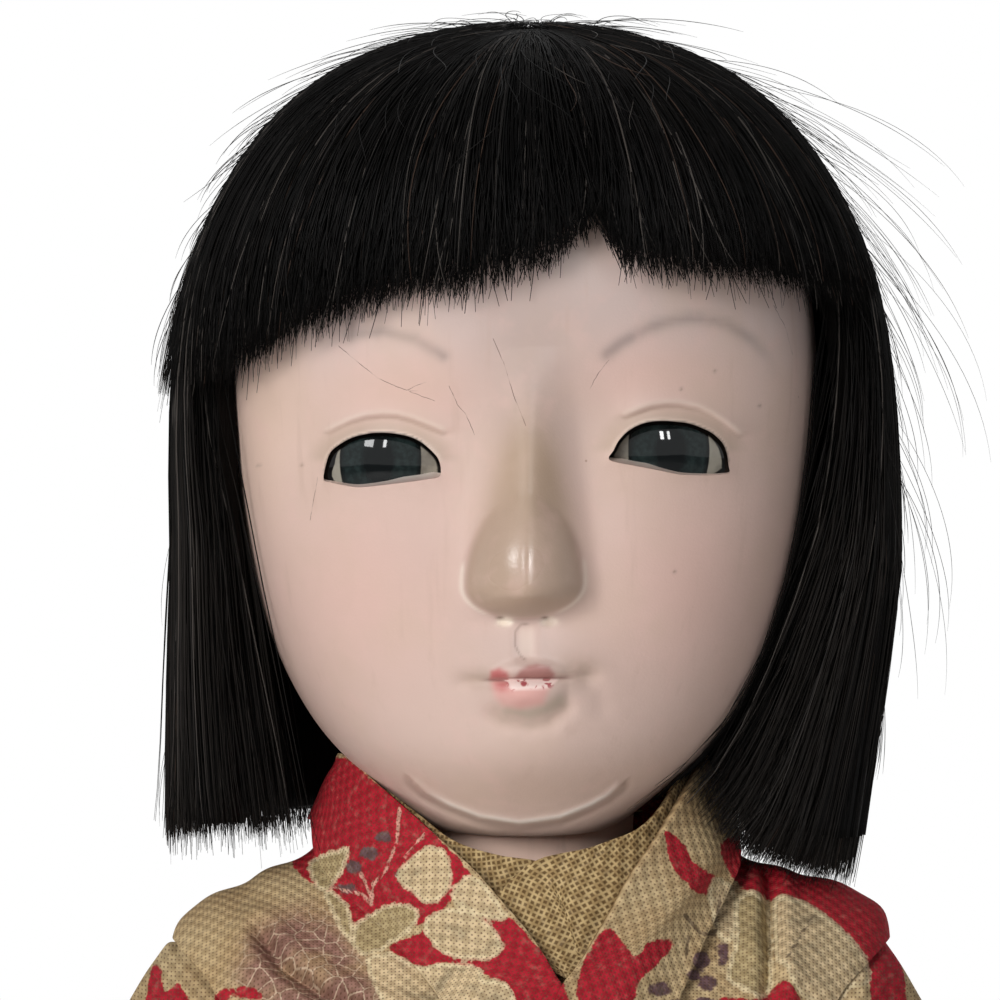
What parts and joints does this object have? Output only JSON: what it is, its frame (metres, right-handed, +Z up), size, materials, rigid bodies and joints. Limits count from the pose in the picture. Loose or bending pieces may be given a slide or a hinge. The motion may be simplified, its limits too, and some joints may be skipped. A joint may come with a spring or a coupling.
{
  "type": "ichimatsu doll",
  "caption": "Standing dressed play doll with a bobbed hair wig, set glass eyes, a turning head, swinging stuffed arms and legs, and a press-to-cry voice box.",
  "frame": {"origin": "middle of the bounding box in plan, on the floor under the soles", "axes": "+Z up, -Y the way the face looks, +X the doll's own left"},
  "size_m": [0.1906, 0.094, 0.423],
  "materials": {
    "gofun": "polished shell-white coat over wood composition",
    "composition": "bare pressed wood composition",
    "eye_glass": "dark painted blown glass",
    "plaster": "rough plaster",
    "hair": "black human hair",
    "pale_wood": "planed pale wood",
    "bellows_paper": "folded paper",
    "stuffed_cotton": "stuffed plain cotton",
    "thread": "wound thread",
    "scrim": "open-weave scrim",
    "kimono_print": "printed plain-weave cloth",
    "obi_cord": "twisted cord",
    "obi_cloth": "woven sash cloth"
  },
  "bodies": {
    "trunk": {"chest_shell": "composition", "midriff_cloth": "stuffed_cotton", "hip_block": "composition", "crier_back_board": "pale_wood", "crier_bellows": "bellows_paper", "crier_reed": "pale_wood", "kimono_bodice": "kimono_print", "right_under_collar": "scrim", "left_under_collar": "scrim", "right_kimono_collar": "kimono_print", "left_kimono_collar": "kimono_print", "kimono_skirt": "kimono_print", "kimono_front_lap": "kimono_print", "obi_band": "obi_cloth", "obi_cord": "obi_cord", "obi_knot": "obi_cloth", "obi_left_loop": "obi_cloth", "obi_right_loop": "obi_cloth"},
    "head": {"face_shell": "gofun", "back_head_shell": "gofun", "left_eye": "eye_glass", "right_eye": "eye_glass", "left_eye_packing": "plaster", "right_eye_packing": "plaster", "neck": "gofun", "neck_peg": "pale_wood", "fringe": "hair", "left_side_hair": "hair", "right_side_hair": "hair", "back_hair": "hair"},
    "left_arm": {"left_upper_arm": "stuffed_cotton", "left_elbow_binding": "thread", "left_forearm": "gofun", "left_sleeve": "kimono_print"},
    "right_arm": {"right_upper_arm": "stuffed_cotton", "right_elbow_binding": "thread", "right_forearm": "gofun", "right_sleeve": "kimono_print"},
    "left_leg": {"left_thigh": "stuffed_cotton", "left_knee_binding": "thread", "left_lower_leg": "gofun"},
    "right_leg": {"right_thigh": "stuffed_cotton", "right_knee_binding": "thread", "right_lower_leg": "gofun"},
    "crier_front": {"crier_front_board": "pale_wood"}
  },
  "joints": [
    {"name": "head_turn", "type": "hinge", "parent": "trunk", "child": "head", "pos_m": [0, 0.002, 0.304], "axis": [0, 0, 1], "range_deg": [-35, 35]},
    {"name": "left_shoulder", "type": "hinge", "parent": "trunk", "child": "left_arm", "pos_m": [0.038, 0, 0.287], "axis": [-1, 0, 0], "range_deg": [-20, 75]},
    {"name": "right_shoulder", "type": "hinge", "parent": "trunk", "child": "right_arm", "pos_m": [-0.038, 0, 0.287], "axis": [-1, 0, 0], "range_deg": [-20, 75]},
    {"name": "right_hip", "type": "hinge", "parent": "trunk", "child": "right_leg", "pos_m": [-0.019, 0, 0.146], "axis": [-1, 0, 0], "range_deg": [0, 80], "deforming": ["kimono_skirt", "kimono_front_lap"]},
    {"name": "left_hip", "type": "hinge", "parent": "trunk", "child": "left_leg", "pos_m": [0.019, 0, 0.146], "axis": [-1, 0, 0], "range_deg": [0, 80], "deforming": ["kimono_skirt", "kimono_front_lap"]},
    {"name": "crier_press", "type": "slide", "parent": "trunk", "child": "crier_front", "axis": [0, 1, 0], "range_m": [0, 0.006], "stiffness_N_per_m": 100, "deforming": ["crier_bellows"]}
  ],
  "couplings": [
    {"joint": "left_hip", "follows": "right_hip", "ratio": 1}
  ]
}
